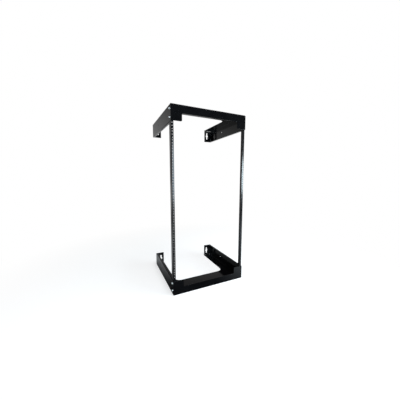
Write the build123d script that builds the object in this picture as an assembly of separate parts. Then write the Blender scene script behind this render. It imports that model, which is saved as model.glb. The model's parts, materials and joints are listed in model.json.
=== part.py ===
from build123d import *
import os

# A wall mount open frame rack: two folded sheet steel brackets joined by two upright rails with tapped holes.
# +X is to the right seen from the front, the front faces -Y, the wall is at +Y and +Z is up.
# The origin is in the middle of the bottom bracket's underside. All sizes are in millimetres.

# Rack standard: the space between the rails, and the tapped holes of one unit
rail_opening = 450.85
unit_height = 44.45
rack_units = 20
hole_offsets = (6.35, 22.225, 38.1)
hole_edge_distance = 7.145
tapped_hole_radius = 2.4

# Rails, folded to an angle section
rail_sheet = 2.5
rail_bend_radius = 1.2
rail_front_width = 13.875
rail_leg = 35.0
rail_end_gap = 0.5

# Brackets, each folded from one sheet
rack_depth = 457.2
bracket_sheet = 2.0
bracket_bend_radius = 1.0
flange_height = 88.9
arm_width = 63.5
beam_depth = 146.05
gap_corner_radius = 38.1
corner_seam = 0.5

# Lip that turns inwards along the free edge of each side flange, behind the rail
lip_width = 12.7
lip_relief = 2.0

# Front flange of a bracket: low along the beam, with an ear at each end
beam_flange_height = 44.45
ear_width = 63.5
ear_corner_radius = 8.0
ear_root_radius = 5.0

# Double ended keyholes in the wall flanges, which this inset puts 16 inches apart
keyhole_inset = 38.1
keyhole_margin = 21.9
keyhole_height = 42.5
keyhole_length = 52.0
keyhole_slot_width = 10.5
keyhole_entry_diameter = 19.0

# Small hole half way up each side flange
tie_hole_diameter = 7.0
tie_hole_setback = 279.4

# Bolts that hold a rail to a side flange
bolt_diameter = 6.35
bolt_projection = 4.2
bolt_hole_clearance = 0.4
bolt_edge_distance = 13.0
lower_bolt_height = 20.6
bolt_pitch = 44.45
head_across_flats = 11.1
head_height = 4.1

# Spring lock washers and nuts
washer_width = 2.8
washer_thickness = 1.6
washer_clearance = 0.15
washer_split = 0.8
washer_split_angle = 25.0
nut_across_flats = 11.1
nut_height = 5.6
nut_clearance = 0.05

# Places that follow from the sizes
side_face = rail_opening / 2 + rail_front_width
half_width = side_face + bracket_sheet
front = -rack_depth / 2
wall = rack_depth / 2
rail_face = front + bracket_sheet
rack_height = rack_units * unit_height + 2 * flange_height
bracket_bend = bracket_sheet + bracket_bend_radius
ear_height = flange_height - bracket_bend
rail_bend = rail_sheet + rail_bend_radius
bolt_hole_diameter = bolt_diameter + bolt_hole_clearance
bolt_y = rail_face + rail_leg - bolt_edge_distance
bolt_heights = (lower_bolt_height, lower_bolt_height + bolt_pitch)
bolt_length = bracket_sheet + rail_sheet + washer_thickness + nut_height + bolt_projection

# Views of the flat faces: the front seen from the front, and the right side seen from outside
front_view = Plane((0, front, 0), x_dir=(1, 0, 0), z_dir=(0, -1, 0))
wall_view = Plane((0, wall, 0), x_dir=(1, 0, 0), z_dir=(0, -1, 0))
side_view = Plane((half_width, 0, 0), x_dir=(0, 1, 0), z_dir=(1, 0, 0))


def block(x_range, y_range, z_range):
    """A rectangular block between three pairs of coordinates."""
    size = [high - low for low, high in (x_range, y_range, z_range)]
    return Pos(x_range[0], y_range[0], z_range[0]) * Box(*size, align=(Align.MIN,) * 3)


def bend_section(sheet, outer_radius):
    """Quarter ring that joins a sheet along X to one along Y, its outer corner at the origin."""
    ring = Pos(outer_radius, outer_radius) * (Circle(outer_radius) - Circle(outer_radius - sheet))
    return ring & Rectangle(outer_radius, outer_radius, align=(Align.MIN, Align.MIN))


def angle_section(sheet, outer_radius, leg_x, leg_y):
    """Section of a folded angle with its legs along X and Y, its outer corner at the origin."""
    along_x = Rectangle(leg_x - outer_radius, sheet, align=(Align.MIN, Align.MIN))
    along_y = Rectangle(sheet, leg_y - outer_radius, align=(Align.MIN, Align.MIN))
    bend = bend_section(sheet, outer_radius)
    return bend + Pos(outer_radius, 0) * along_x + Pos(0, outer_radius) * along_y


def bracket_plate():
    """The level sheet: a front beam and two arms, with round corners in the gap between the arms."""
    edge = half_width - bracket_bend
    gap_half = half_width - arm_width
    plate = block((-edge, edge), (front + bracket_bend, wall), (0, bracket_sheet))
    gap = block((-gap_half, gap_half), (front + beam_depth, wall + beam_depth), (0, bracket_sheet))
    front_corners = gap.edges().filter_by(Axis.Z).group_by(Axis.Y)[0]
    return plate - fillet(front_corners, gap_corner_radius)


def front_flange():
    """The upright front sheet and the bend along its foot."""
    upwards = (Align.CENTER, Align.MIN)
    edge = half_width - bracket_bend
    notch_width = 2 * (half_width - ear_width)
    notch = Pos(0, beam_flange_height) * Rectangle(notch_width, ear_height, align=upwards)
    notch = fillet(notch.vertices().group_by(Axis.Y)[0], ear_root_radius)
    outline = Pos(0, bracket_bend) * Rectangle(2 * half_width, ear_height - bracket_bend, align=upwards)
    outline -= notch
    ear_corners = outline.vertices().group_by(Axis.Y)[-1].sort_by(Axis.X)[1:-1]
    outline = fillet(ear_corners, ear_corner_radius)
    sheet = extrude(front_view * outline, -bracket_sheet)
    foot = Plane((-edge, front, 0), x_dir=(0, 1, 0), z_dir=(1, 0, 0))
    return sheet + extrude(foot * bend_section(bracket_sheet, bracket_bend), 2 * edge)


def side_flange():
    """The right side flange, the bend along its foot, and its tie and bolt holes."""
    sheet = block(
        (side_face, half_width),
        (rail_face + corner_seam, wall - bracket_bend),
        (bracket_bend, ear_height),
    )
    foot = Plane((half_width, front + bracket_bend, 0), x_dir=(-1, 0, 0), z_dir=(0, 1, 0))
    sheet += extrude(foot * bend_section(bracket_sheet, bracket_bend), rack_depth - 2 * bracket_bend)
    tie_hole = Pos(front + tie_hole_setback, flange_height / 2) * Circle(tie_hole_diameter / 2)
    bolt_holes = [Pos(bolt_y, height) * Circle(bolt_hole_diameter / 2) for height in bolt_heights]
    return sheet - extrude(side_view * Sketch([tie_hole] + bolt_holes), -bracket_sheet)


def lip():
    """The lip that folds inwards along the free edge of the right side flange, behind the rail."""
    start = rail_face + rail_leg + lip_relief
    end = wall - bracket_bend - lip_relief
    flat = Rectangle(lip_width - bracket_bend, bracket_sheet, align=(Align.MIN, Align.MIN))
    section = bend_section(bracket_sheet, bracket_bend) + Pos(bracket_bend, 0) * flat
    edge = Plane((half_width, end, flange_height), x_dir=(-1, 0, 0), z_dir=(0, -1, 0))
    return extrude(edge * section, end - start)


def keyhole():
    """Outline of a slot that runs up and down, with a wide entry for the screw head in its middle."""
    return Rot(0, 0, 90) * SlotOverall(keyhole_length, keyhole_slot_width) + Circle(keyhole_entry_diameter / 2)


def wall_flange():
    """The right wall flange, the upright bend that joins it to the side flange, and its keyhole."""
    sheet = block(
        (half_width - keyhole_inset - keyhole_margin, half_width - bracket_bend),
        (wall - bracket_sheet, wall),
        (bracket_bend, flange_height),
    )
    corner = Plane((half_width, wall, bracket_bend), x_dir=(-1, 0, 0), z_dir=(0, 0, 1))
    sheet += extrude(corner * bend_section(bracket_sheet, bracket_bend), flange_height - bracket_bend)
    place = Pos(half_width - keyhole_inset, keyhole_height)
    return sheet - extrude(wall_view * (place * keyhole()), bracket_sheet)


def bracket():
    """The bottom bracket, as one folded sheet."""
    right = side_flange() + lip() + wall_flange()
    return bracket_plate() + front_flange() + right + mirror(right, Plane.YZ)


def rail():
    """The right rail: an angle section with tapped holes in its front and bolt holes in its leg."""
    foot = Plane((side_face, rail_face, bracket_bend + rail_end_gap), x_dir=(0, 1, 0), z_dir=(0, 0, 1))
    section = angle_section(rail_sheet, rail_bend, rail_leg, rail_front_width)
    angle = extrude(foot * section, rack_height - 2 * (bracket_bend + rail_end_gap))
    hole_x = rail_opening / 2 + hole_edge_distance
    unit_feet = [flange_height + unit * unit_height for unit in range(rack_units)]
    hole_heights = [unit_foot + offset for unit_foot in unit_feet for offset in hole_offsets]
    tapped = [Pos(hole_x, height) * Circle(tapped_hole_radius) for height in hole_heights]
    end_heights = list(bolt_heights) + [rack_height - height for height in bolt_heights]
    bolted = [Pos(bolt_y, height) * Circle(bolt_hole_diameter / 2) for height in end_heights]
    angle -= extrude(front_view * Sketch(tapped), -bracket_sheet - rail_sheet)
    return angle - extrude(side_view * Sketch(bolted), -bracket_sheet - rail_sheet)


def hexagon(across_flats):
    """Outline of a hexagon head or nut."""
    return RegularPolygon(across_flats / 2, 6, major_radius=False)


def bolt():
    """A hexagon head bolt, its shank along +Z from Z = 0 and its head below."""
    head = extrude(hexagon(head_across_flats), -head_height)
    return head + extrude(Circle(bolt_diameter / 2), bolt_length)


def lock_washer():
    """A spring washer pressed flat, from Z = 0 up, with its slanting split."""
    inner = bolt_diameter / 2 + washer_clearance
    ring = extrude(Circle(inner + washer_width) - Circle(inner), washer_thickness)
    gap = Box(2 * washer_width, washer_split, 3 * washer_thickness)
    return ring - Pos(inner + washer_width / 2, 0, washer_thickness / 2) * Rot(washer_split_angle, 0, 0) * gap


def nut():
    """A hexagon nut from Z = 0 up."""
    return extrude(hexagon(nut_across_flats) - Circle(bolt_diameter / 2 + nut_clearance), nut_height)


def fastener_place(height, depth):
    """Frame of a fastener on the right side: its Z points inwards from a depth below the outer face."""
    return Plane((half_width - depth, bolt_y, height), x_dir=(0, 1, 0), z_dir=(-1, 0, 0))


def to_top(solid):
    """The same piece turned over about the front to back axis, from the bottom bracket to the top one."""
    return Pos(0, 0, rack_height) * Rot(0, 180, 0) * solid


# Pieces by node name, left and right as seen from the front
bottom_bracket = bracket()
right_rail = rail()
nodes = {
    "bottom_bracket": bottom_bracket,
    "top_bracket": to_top(bottom_bracket),
    "right_rail": right_rail,
    "left_rail": mirror(right_rail, Plane.YZ),
}

inner_face = bracket_sheet + rail_sheet
fasteners = {
    "bolt": (bolt(), 0),
    "lock_washer": (lock_washer(), inner_face),
    "nut": (nut(), inner_face + washer_thickness),
}
for name, (solid, depth) in fasteners.items():
    for number, height in enumerate(bolt_heights, start=1):
        bottom_right = fastener_place(height, depth) * solid
        bottom_left = mirror(bottom_right, Plane.YZ)
        nodes[f"{name}_bottom_right_{number}"] = bottom_right
        nodes[f"{name}_bottom_left_{number}"] = bottom_left
        nodes[f"{name}_top_left_{number}"] = to_top(bottom_right)
        nodes[f"{name}_top_right_{number}"] = to_top(bottom_left)

os.makedirs("parts", exist_ok=True)
for name, solid in nodes.items():
    export_step(solid, f"parts/{name}.step")
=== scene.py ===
import json
import math

import bpy
from mathutils import Matrix, Vector

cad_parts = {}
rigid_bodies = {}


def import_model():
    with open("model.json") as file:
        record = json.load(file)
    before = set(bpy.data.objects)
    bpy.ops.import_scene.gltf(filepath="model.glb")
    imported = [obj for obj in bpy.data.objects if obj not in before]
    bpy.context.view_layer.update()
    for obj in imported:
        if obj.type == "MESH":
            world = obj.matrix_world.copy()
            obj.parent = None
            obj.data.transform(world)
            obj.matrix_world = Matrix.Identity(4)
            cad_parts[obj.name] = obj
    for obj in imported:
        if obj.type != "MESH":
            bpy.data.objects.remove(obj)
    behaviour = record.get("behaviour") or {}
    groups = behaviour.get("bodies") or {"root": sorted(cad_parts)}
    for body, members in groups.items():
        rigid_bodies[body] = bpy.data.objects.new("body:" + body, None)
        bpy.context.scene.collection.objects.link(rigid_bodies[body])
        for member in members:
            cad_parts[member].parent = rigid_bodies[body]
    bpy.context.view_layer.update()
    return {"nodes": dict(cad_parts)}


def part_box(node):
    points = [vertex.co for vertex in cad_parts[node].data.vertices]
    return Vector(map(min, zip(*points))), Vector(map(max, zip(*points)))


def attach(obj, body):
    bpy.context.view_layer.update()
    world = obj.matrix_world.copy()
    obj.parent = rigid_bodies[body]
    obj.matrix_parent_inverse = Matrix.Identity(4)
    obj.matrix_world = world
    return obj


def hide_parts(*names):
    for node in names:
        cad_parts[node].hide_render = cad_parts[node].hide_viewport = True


for leftover in list(bpy.data.objects):
    bpy.data.objects.remove(leftover)

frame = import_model()

# The photograph's camera, fitted to the rack's corners and outline, in metres, degrees and millimetres
CAMERA_PLACE = (-0.5404, -1.2288, 0.6809)
CAMERA_YAW = 25.08
CAMERA_PITCH = -6.617
CAMERA_LENS = 17.121
SENSOR = 36.0

# Bolts and nuts in metres and degrees, a quarter inch thread with 20 turns to the inch
BOLT_RADIUS = 0.003175
THREAD_PITCH = 0.00127
THREAD_DEPTH = 0.00055
THREAD_STEPS = 8
PLAIN_SHANK = 0.0035
SHANK_FADE = 0.0004
BOLT_TIP_CHAMFER = 0.0009
HEAD_FLATS = 0.0111
HEAD_CHAMFER_ANGLE = 30.0
HEAD_FLAT_SHARE = 0.95
TOP_BOLT_TURN = 38.0
NUT_PLAY = 0.00003
NUT_COUNTERSINK = 0.0004

# Rings of points that bolts and nuts are made of. The smallest ring closes an end
ROUND_SEGMENTS = 96
POLE_RADIUS = 0.00001

# Spring lock washers
WASHER_WIDTH = 0.0028
WASHER_INNER_RADIUS = 0.003325
WASHER_SPLIT_ANGLE = 5.0
WASHER_SLANT = 25.0
WASHER_ROUND = 0.00018
WASHER_STEPS = 72

# Thread of the rails' tapped holes, with 24 turns to the inch
TAPPED_RADIUS = 0.0024
TAPPED_PITCH = 0.0010583
TAPPED_DEPTH = 0.00022
TAPPED_SEGMENTS = 24
TAPPED_STEPS = 6

# Hole places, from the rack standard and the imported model
UNIT = 0.04445
HOLE_OFFSETS = (0.00635, 0.022225, 0.0381)
HOLE_SPACING = 0.46514
RAIL_SHEET = 0.0025
BRACKET_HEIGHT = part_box("bottom_bracket")[1].z
RACK_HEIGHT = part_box("top_bracket")[1].z
UNITS = round((RACK_HEIGHT - 2 * BRACKET_HEIGHT) / UNIT)
HOLE_HEIGHTS = [BRACKET_HEIGHT + unit * UNIT + offset for unit in range(UNITS) for offset in HOLE_OFFSETS]

# Rounded edges that the paint leaves on the cut sheets
EDGE_RADIUS = 0.00035
EDGE_ANGLE = 40.0
EDGE_SEGMENTS = 2
WELD_DISTANCE = 0.000001
SHARP_ANGLE = 30.0

# Finishes: a dark and a light tone, and the smoothest and the roughest gloss
BRACKET_TONES = ((0.0015, 0.0015, 0.002), (0.003, 0.003, 0.0035))
BRACKET_GLOSS = (0.11, 0.15)
RAIL_TONES = ((0.002, 0.0022, 0.003), (0.0035, 0.0038, 0.005))
RAIL_GLOSS = (0.15, 0.19)
ZINC_TONES = ((0.72, 0.69, 0.66), (0.8, 0.77, 0.74))
ZINC_GLOSS = (0.24, 0.38)
# The cut threads are dark as painted shade inside the tapped holes
CUT_PAINTED_SHADE_TONES = ((0.03, 0.031, 0.034), (0.07, 0.071, 0.075))
CUT_GLOSS = (0.35, 0.5)
CUT_METALLIC = 0.8
PAINT_IOR = 1.5

# The middle of a noise, which is drawn out over a whole range
NOISE_MIDDLE = (0.3, 0.7)

# Floor. A range is a start, an end, the value at the start and the value at the end
FLOOR_HALF = 20.0
FLOOR_DROP = 0.0003
FLOOR_COLOUR = (0.5, 0.5, 0.5, 1.0)
FLOOR_LIFT = 0.66
FLOOR_FADE = (0.5, 1.6, 0.0, 1.0)
# Painted light and shade on the floor that other rays meet: dark in front of the rack as its painted
# shadow, lighter behind it, towards the left and to the right
FLOOR_PAINTED_LIGHT_BEHIND = (-0.2, 0.35, 0.045, 0.65)
FLOOR_PAINTED_LIGHT_LEFT = (0.1, -0.25, 0.44, 1.2)
FLOOR_PAINTED_LIGHT_RIGHT = (0.0, 0.45, 0.0, 0.6)
FLOOR_FAR = (1.5, 4.0, 0.0, 1.0)
FLOOR_FAR_BEHIND = (0.0, 1.0, 0.0, 0.6)

# World, with a pale wall behind the rack that fades upwards, more slowly towards the right
ROOM_STRENGTH = 0.05
WHITE = (1.0, 1.0, 1.0, 1.0)
WALL_BEHIND = (0.3, 0.9, 0.0, 1.0)
WALL_UPWARDS = (-0.25, 0.0, 1.0)
WALL_TOP = (0.58, 0.12, 0.0, 0.52)
WALL_FOOT = (0.0, 0.22, 0.55, 1.0)
WALL_LEFT = (-0.3, -0.55, 1.0, 1.4)

# Soft boxes: name, place, aim, width, height, watts and colour
LIGHTS = (
    ("front_box", (-0.15, -1.95, 0.76), (-0.15, 0.0, 0.76), 1.77, 0.81, 31.5, (0.72, 0.88, 1.0)),
    ("right_box", (1.715, -1.304, 0.71), (-0.552, 0.81, 0.71), 1.9, 0.49, 63.0, (0.78, 0.93, 1.0)),
    ("top_box", (0.3, -0.8, 2.9), (0.0, 0.0, 0.5), 1.6, 1.6, 50.0, (1.0, 1.0, 1.0)),
)


# Node helpers
def new_material(name):
    """A material with an empty principled shader, and its node tree."""
    material = bpy.data.materials.new(name)
    material.use_nodes = True
    tree = material.node_tree
    return material, tree, tree.nodes["Principled BSDF"]


def noise(tree, scale, detail=3.0):
    """Noise over the object's own coordinates, with its scale in cycles to the metre."""
    place = tree.nodes.new("ShaderNodeTexCoord")
    texture = tree.nodes.new("ShaderNodeTexNoise")
    texture.inputs["Scale"].default_value = scale
    texture.inputs["Detail"].default_value = detail
    tree.links.new(place.outputs["Object"], texture.inputs["Vector"])
    return texture.outputs["Fac"]


def map_range(tree, value, start, end, low, high, interpolation="LINEAR"):
    """A value that turns from low at start to high at end."""
    ramp = tree.nodes.new("ShaderNodeMapRange")
    ramp.interpolation_type = interpolation
    ramp.inputs["From Min"].default_value = start
    ramp.inputs["From Max"].default_value = end
    ramp.inputs["To Min"].default_value = low
    ramp.inputs["To Max"].default_value = high
    tree.links.new(value, ramp.inputs["Value"])
    return ramp.outputs["Result"]


def smooth_step(tree, value, start, end, low, high):
    """The same turn, eased at both ends."""
    return map_range(tree, value, start, end, low, high, "SMOOTHSTEP")


def spread(tree, value, low, high):
    """The middle of a noise, drawn out to run from low to high."""
    return map_range(tree, value, *NOISE_MIDDLE, low, high)


def set_tones(tree, shader, value, dark, light):
    """A base colour that the middle of a noise turns from dark to light."""
    mix = tree.nodes.new("ShaderNodeMix")
    mix.data_type = "RGBA"
    mix.inputs["A"].default_value = (*dark, 1.0)
    mix.inputs["B"].default_value = (*light, 1.0)
    tree.links.new(spread(tree, value, 0.0, 1.0), mix.inputs["Factor"])
    tree.links.new(mix.outputs["Result"], shader.inputs["Base Color"])


def set_gloss(tree, shader, value, smooth, rough):
    """A roughness that the middle of a noise turns from smooth to rough."""
    tree.links.new(spread(tree, value, smooth, rough), shader.inputs["Roughness"])


def combine(tree, operation, first, second):
    """Two values put together by a math node."""
    node = tree.nodes.new("ShaderNodeMath")
    node.operation = operation
    tree.links.new(first, node.inputs[0])
    tree.links.new(second, node.inputs[1])
    return node.outputs[0]


def multiply(tree, first, second):
    """The product of two values."""
    return combine(tree, "MULTIPLY", first, second)


def larger(tree, first, second):
    """The larger of two values."""
    return combine(tree, "MAXIMUM", first, second)


def mirror_rays(tree, path):
    """1 for a ray that a mirror or a glass sends on, and 0 for any other."""
    return larger(tree, path.outputs["Is Glossy Ray"], path.outputs["Is Transmission Ray"])


def mix_shaders(tree, factor, first, second):
    """Two shader nodes mixed by a factor."""
    mix = tree.nodes.new("ShaderNodeMixShader")
    tree.links.new(factor, mix.inputs[0])
    tree.links.new(first.outputs[0], mix.inputs[1])
    tree.links.new(second.outputs[0], mix.inputs[2])
    return mix


def bump(tree, shader, height, strength, distance):
    """A height that tilts the shader's normal."""
    node = tree.nodes.new("ShaderNodeBump")
    node.inputs["Strength"].default_value = strength
    node.inputs["Distance"].default_value = distance
    tree.links.new(height, node.inputs["Height"])
    tree.links.new(node.outputs["Normal"], shader.inputs["Normal"])


# Materials
def powder_coat(name, tones, gloss):
    """Black powder coat: a fine orange peel, and slow changes of tone and gloss."""
    material, tree, shader = new_material(name)
    set_tones(tree, shader, noise(tree, scale=14.0), *tones)
    set_gloss(tree, shader, noise(tree, scale=45.0, detail=5.0), *gloss)
    shader.inputs["IOR"].default_value = PAINT_IOR
    bump(tree, shader, noise(tree, scale=620.0, detail=2.0), strength=0.12, distance=0.0002)
    return material


def zinc_plate():
    """Bright zinc on the fasteners, a little uneven in tone and gloss."""
    material, tree, shader = new_material("bright_zinc")
    set_tones(tree, shader, noise(tree, scale=260.0), *ZINC_TONES)
    shader.inputs["Metallic"].default_value = 1.0
    set_gloss(tree, shader, noise(tree, scale=900.0, detail=4.0), *ZINC_GLOSS)
    bump(tree, shader, noise(tree, scale=2500.0, detail=2.0), strength=0.1, distance=0.00005)
    return material


def cut_thread_painted_shade():
    """Steel where the rails' threads were cut, darkened as painted shade inside the holes."""
    material, tree, shader = new_material("cut_thread_painted_shade")
    set_tones(tree, shader, noise(tree, scale=900.0), *CUT_PAINTED_SHADE_TONES)
    shader.inputs["Metallic"].default_value = CUT_METALLIC
    set_gloss(tree, shader, noise(tree, scale=1500.0), *CUT_GLOSS)
    return material


BRACKET_PAINT = powder_coat("bracket_powder_coat", BRACKET_TONES, BRACKET_GLOSS)
RAIL_PAINT = powder_coat("rail_powder_coat", RAIL_TONES, RAIL_GLOSS)
ZINC = zinc_plate()
CUT_THREAD_PAINTED_SHADE = cut_thread_painted_shade()


# Mesh helpers
def round_point(radius, angle, height):
    """A point round Z."""
    return Vector((radius * math.cos(angle), radius * math.sin(angle), height))


def ring(radius, height, segments=ROUND_SEGMENTS):
    """Points of a circle round Z."""
    return [round_point(radius, 2 * math.pi * i / segments, height) for i in range(segments)]


def skin(rings):
    """Quads between rings of equal length, each ring closed on itself."""
    faces = []
    count = len(rings[0])
    for level in range(len(rings) - 1):
        low, high = level * count, (level + 1) * count
        for i in range(count):
            j = (i + 1) % count
            faces.append((low + i, low + j, high + j, high + i))
    return faces


def flatten(rings):
    """One list of points from a list of rings."""
    return [point for one in rings for point in one]


def mesh_from(name, points, faces, material):
    """A mesh of one material, with its sharp edges marked by angle."""
    mesh = bpy.data.meshes.new(name)
    mesh.from_pydata([tuple(p) for p in points], [], faces)
    mesh.validate()
    mesh.shade_smooth()
    mesh.set_sharp_from_angle(angle=math.radians(SHARP_ANGLE))
    mesh.materials.append(material)
    return mesh


def add_object(name, data):
    """A new object in the scene."""
    piece = bpy.data.objects.new(name, data)
    bpy.context.scene.collection.objects.link(piece)
    return piece


def hexagon_radius(angle):
    """Distance from the centre to the side of a hexagon of unit half flats, with corners at angle 0."""
    turn = math.pi / 3
    return 1.0 / math.cos((angle % turn) - turn / 2)


def hexagon_rings(high):
    """Rings of a hexagon head from Z = 0 to its high end, which is chamfered to a circle."""
    half = HEAD_FLATS / 2
    slope = math.copysign(math.tan(math.radians(HEAD_CHAMFER_ANGLE)), high)
    flat_radius = HEAD_FLAT_SHARE * half
    foot, edge = [], []
    for i in range(ROUND_SEGMENTS):
        angle = 2 * math.pi * i / ROUND_SEGMENTS
        radius = half * hexagon_radius(angle)
        foot.append(round_point(radius, angle, 0.0))
        edge.append(round_point(radius, angle, high - (radius - flat_radius) * slope))
    return [foot, edge, ring(flat_radius, high)]


def thread_radius(angle, height, pitch, outer, depth):
    """Radius of a right hand thread of vee form."""
    phase = (height / pitch - angle / (2 * math.pi)) % 1.0
    return outer - depth * abs(2 * phase - 1)


def thread_rings(low, high, pitch, outer, depth, segments, steps):
    """Rings of a thread from low to high, with steps rings to the turn."""
    count = max(2, round((high - low) / pitch * steps))
    rings = []
    for level in range(count + 1):
        height = low + (high - low) * level / count
        points = []
        for i in range(segments):
            angle = 2 * math.pi * i / segments
            points.append(round_point(thread_radius(angle, height, pitch, outer, depth), angle, height))
        rings.append(points)
    return rings


# Fasteners, built along Z as on a bench: the bolt's head is below Z = 0
def bolt_mesh(length, head_height):
    """Hexagon head bolt with a rolled thread and a chamfered tip."""
    head = [ring(BOLT_RADIUS, 0.0)] + hexagon_rings(-head_height) + [ring(POLE_RADIUS, -head_height)]
    shank = [ring(BOLT_RADIUS, 0.0), ring(BOLT_RADIUS, PLAIN_SHANK - SHANK_FADE)]
    thread_end = length - BOLT_TIP_CHAMFER
    threads = thread_rings(
        PLAIN_SHANK, thread_end, THREAD_PITCH, BOLT_RADIUS, THREAD_DEPTH, ROUND_SEGMENTS, THREAD_STEPS
    )
    tip = [ring(BOLT_RADIUS - BOLT_TIP_CHAMFER, length), ring(POLE_RADIUS, length)]
    body = shank + threads + tip
    faces = [tuple(reversed(f)) for f in skin(head)]
    offset = len(head) * ROUND_SEGMENTS
    faces += [tuple(offset + i for i in f) for f in skin(body)]
    return mesh_from("bolt", flatten(head) + flatten(body), faces, ZINC)


def nut_mesh(height):
    """Hexagon nut, chamfered on the side away from the washer, with a countersunk bore."""
    bore = BOLT_RADIUS + NUT_PLAY
    outside = hexagon_rings(height)
    mouth = ring(bore + NUT_COUNTERSINK, height)
    inside = [mouth, ring(bore, height - NUT_COUNTERSINK), ring(bore, 0.0)]
    rings = outside + inside + [outside[0]]
    return mesh_from("nut", flatten(rings), skin(rings), ZINC)


def washer_mesh(thickness):
    """Spring lock washer pressed flat, split on a slant, with small rounds on its section."""
    inner, outer = WASHER_INNER_RADIUS, WASHER_INNER_RADIUS + WASHER_WIDTH
    section = [
        (inner + WASHER_ROUND, 0.0),
        (outer - WASHER_ROUND, 0.0),
        (outer, WASHER_ROUND),
        (outer, thickness - WASHER_ROUND),
        (outer - WASHER_ROUND, thickness),
        (inner + WASHER_ROUND, thickness),
        (inner, thickness - WASHER_ROUND),
        (inner, WASHER_ROUND),
    ]
    lean = math.tan(math.radians(WASHER_SLANT)) / (inner + WASHER_WIDTH / 2)
    split = math.radians(WASHER_SPLIT_ANGLE)
    points = []
    for step in range(WASHER_STEPS + 1):
        angle = split + (2 * math.pi - 2 * split) * step / WASHER_STEPS
        for radius, height in section:
            points.append(round_point(radius, angle + lean * (height - thickness / 2), height))
    count = len(section)
    faces = []
    for step in range(WASHER_STEPS):
        low, high = step * count, (step + 1) * count
        for i in range(count):
            j = (i + 1) % count
            faces.append((low + i, high + i, high + j, low + j))
    last = WASHER_STEPS * count
    faces.append(tuple(range(count)))
    faces.append(tuple(reversed(range(last, last + count))))
    return mesh_from("lock_washer", points, faces, ZINC)


def place_on_side(mesh, node, depth):
    """A fastener in its node's place, its Z pointing inwards from a depth under the node's outer end."""
    low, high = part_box(node)
    middle = (low + high) / 2
    inwards = -1.0 if middle.x > 0 else 1.0
    outer_x = high.x if middle.x > 0 else low.x
    piece = add_object(f"{node}_look", mesh)
    axes = Matrix(((0, 0, inwards), (1, 0, 0), (0, inwards, 0))).to_4x4()
    origin = Vector((outer_x + inwards * depth, middle.y, middle.z))
    turn = inwards * math.radians(TOP_BOLT_TURN if node.startswith("bolt_top") else 0.0)
    piece.matrix_world = Matrix.Translation(origin) @ axes @ Matrix.Rotation(turn, 4, "Z")
    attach(piece, "root")
    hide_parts(node)


def make_fasteners():
    """Detailed bolts, lock washers and nuts in the places of the plain ones."""
    bolt_low, bolt_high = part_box("bolt_bottom_right_1")
    washer_low, washer_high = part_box("lock_washer_bottom_right_1")
    nut_low, nut_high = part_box("nut_bottom_right_1")
    bracket_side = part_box("bottom_bracket")[1].x
    head_height = bolt_high.x - bracket_side
    meshes = {
        "bolt": (bolt_mesh(bracket_side - bolt_low.x, head_height), head_height),
        "lock_washer": (washer_mesh(washer_high.x - washer_low.x), 0.0),
        "nut": (nut_mesh(nut_high.x - nut_low.x), 0.0),
    }
    for name in sorted(frame["nodes"]):
        for kind, (mesh, depth) in meshes.items():
            if name.startswith(kind + "_"):
                place_on_side(mesh, name, depth)


def make_threads(rail):
    """Cut threads inside a rail's tapped holes."""
    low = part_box(rail)[0]
    hole_x = math.copysign(HOLE_SPACING / 2, low.x)
    rings = thread_rings(
        0.0, RAIL_SHEET, TAPPED_PITCH, TAPPED_RADIUS, TAPPED_DEPTH, TAPPED_SEGMENTS, TAPPED_STEPS
    )
    one = flatten(rings)
    points, faces = [], []
    for height in HOLE_HEIGHTS:
        offset = len(points)
        points += [Vector((hole_x + p.x, low.y + p.z, height - p.y)) for p in one]
        faces += [tuple(offset + i for i in reversed(f)) for f in skin(rings)]
    piece = add_object(f"{rail}_threads", mesh_from(f"{rail}_threads", points, faces, CUT_THREAD_PAINTED_SHADE))
    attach(piece, "root")


def paint_sheet(name, paint):
    """A carried-over sheet: its paint, and its edges rounded by it."""
    node = frame["nodes"][name]
    node.material_slots[0].material = paint
    weld = node.modifiers.new("weld", "WELD")
    weld.merge_threshold = WELD_DISTANCE
    bevel = node.modifiers.new("painted_edges", "BEVEL")
    bevel.width = EDGE_RADIUS
    bevel.segments = EDGE_SEGMENTS
    bevel.limit_method = "ANGLE"
    bevel.angle_limit = math.radians(EDGE_ANGLE)
    bevel.harden_normals = True


# Stage
def area_light(name, place, aim, width, height, watts, colour):
    """A soft box that looks from its place to an aim point."""
    data = bpy.data.lights.new(name, "AREA")
    data.shape = "RECTANGLE"
    data.size = width
    data.size_y = height
    data.energy = watts
    data.color = colour
    lamp = add_object(name, data)
    lamp.location = place
    lamp.rotation_euler = (Vector(aim) - Vector(place)).to_track_quat("-Z", "Y").to_euler()
    lamp.visible_camera = False


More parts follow.
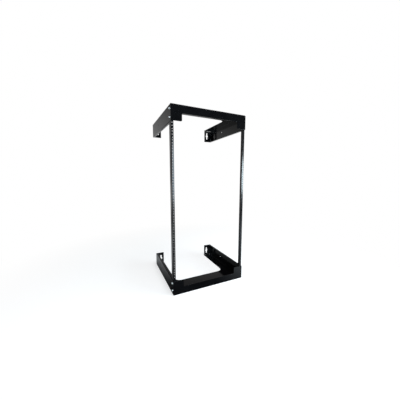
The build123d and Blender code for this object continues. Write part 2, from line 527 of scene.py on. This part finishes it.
def floor_material():
    """A pale floor with the rack's shadow on it, which fades to white farther off.

    That is what the camera sees. Other rays meet a dimmer floor with painted shade in front of the rack
    and painted light behind and beside it, and only mirrors see it white, far behind the rack.
    """
    material = bpy.data.materials.new("pale_floor")
    material.use_nodes = True
    tree = material.node_tree
    tree.nodes.clear()
    output = tree.nodes.new("ShaderNodeOutputMaterial")
    path = tree.nodes.new("ShaderNodeLightPath")
    place = tree.nodes.new("ShaderNodeTexCoord")
    length = tree.nodes.new("ShaderNodeVectorMath")
    length.operation = "LENGTH"
    tree.links.new(place.outputs["Object"], length.inputs[0])
    sides = tree.nodes.new("ShaderNodeSeparateXYZ")
    tree.links.new(place.outputs["Object"], sides.inputs[0])

    shadowed = tree.nodes.new("ShaderNodeBsdfDiffuse")
    shadowed.inputs["Color"].default_value = FLOOR_COLOUR
    lift = tree.nodes.new("ShaderNodeEmission")
    lift.inputs["Strength"].default_value = FLOOR_LIFT
    lifted = tree.nodes.new("ShaderNodeAddShader")
    tree.links.new(shadowed.outputs[0], lifted.inputs[0])
    tree.links.new(lift.outputs[0], lifted.inputs[1])
    white = tree.nodes.new("ShaderNodeEmission")
    fade = smooth_step(tree, length.outputs["Value"], *FLOOR_FADE)
    seen = mix_shaders(tree, fade, lifted, white)

    # Painted light and shade for other rays: the rack's painted shadow in front, a lighter floor behind,
    # to the left and to the right
    left = smooth_step(tree, sides.outputs["X"], *FLOOR_PAINTED_LIGHT_LEFT)
    behind = multiply(tree, smooth_step(tree, sides.outputs["Y"], *FLOOR_PAINTED_LIGHT_BEHIND), left)
    right = smooth_step(tree, sides.outputs["X"], *FLOOR_PAINTED_LIGHT_RIGHT)
    plain = tree.nodes.new("ShaderNodeBsdfDiffuse")
    tree.links.new(larger(tree, behind, right), plain.inputs["Color"])
    far = smooth_step(tree, length.outputs["Value"], *FLOOR_FAR)
    wall = multiply(tree, far, smooth_step(tree, sides.outputs["Y"], *FLOOR_FAR_BEHIND))
    bounced = mix_shaders(tree, multiply(tree, wall, mirror_rays(tree, path)), plain, white)

    both = mix_shaders(tree, path.outputs["Is Camera Ray"], bounced, seen)
    tree.links.new(both.outputs[0], output.inputs["Surface"])
    return material


def make_floor():
    """A pale floor just under the rack, which keeps the rack's shadow."""
    mesh = bpy.data.meshes.new("floor")
    corners = [(x * FLOOR_HALF, y * FLOOR_HALF, 0) for x, y in ((-1, -1), (1, -1), (1, 1), (-1, 1))]
    mesh.from_pydata(corners, [], [(0, 1, 2, 3)])
    mesh.materials.append(floor_material())
    floor = add_object("floor", mesh)
    floor.location.z = -FLOOR_DROP


def make_world():
    """White to the camera and a dim room to other rays, with a pale wall behind the rack for its gloss."""
    world = bpy.data.worlds.new("studio")
    bpy.context.scene.world = world
    world.use_nodes = True
    tree = world.node_tree
    tree.nodes.clear()
    output = tree.nodes.new("ShaderNodeOutputWorld")
    path = tree.nodes.new("ShaderNodeLightPath")
    place = tree.nodes.new("ShaderNodeTexCoord")
    sides = tree.nodes.new("ShaderNodeSeparateXYZ")
    tree.links.new(place.outputs["Generated"], sides.inputs[0])
    upwards = tree.nodes.new("ShaderNodeVectorMath")
    upwards.operation = "DOT_PRODUCT"
    upwards.inputs[1].default_value = WALL_UPWARDS
    tree.links.new(place.outputs["Generated"], upwards.inputs[0])
    behind = smooth_step(tree, sides.outputs["Y"], *WALL_BEHIND)
    top = smooth_step(tree, upwards.outputs["Value"], *WALL_TOP)
    foot = smooth_step(tree, sides.outputs["Z"], *WALL_FOOT)
    left = smooth_step(tree, sides.outputs["X"], *WALL_LEFT)
    wall = multiply(tree, multiply(tree, behind, left), multiply(tree, top, foot))
    mirrored = multiply(tree, wall, mirror_rays(tree, path))
    room = tree.nodes.new("ShaderNodeBackground")
    room.inputs["Strength"].default_value = ROOM_STRENGTH
    white = tree.nodes.new("ShaderNodeBackground")
    white.inputs["Color"].default_value = WHITE
    shown = mix_shaders(tree, larger(tree, path.outputs["Is Camera Ray"], mirrored), room, white)
    tree.links.new(shown.outputs[0], output.inputs["Surface"])


def make_camera():
    """The photograph's view."""
    camera = bpy.data.cameras.new("camera")
    camera.lens = CAMERA_LENS
    camera.sensor_width = SENSOR
    eye = add_object("camera", camera)
    eye.location = CAMERA_PLACE
    eye.rotation_euler = (math.radians(90 + CAMERA_PITCH), 0.0, math.radians(-CAMERA_YAW))
    bpy.context.scene.camera = eye


paint_sheet("bottom_bracket", BRACKET_PAINT)
paint_sheet("top_bracket", BRACKET_PAINT)
paint_sheet("left_rail", RAIL_PAINT)
paint_sheet("right_rail", RAIL_PAINT)
make_fasteners()
make_threads("left_rail")
make_threads("right_rail")
make_floor()
make_world()
for light in LIGHTS:
    area_light(*light)
make_camera()
bpy.context.scene.view_settings.view_transform = "Standard"
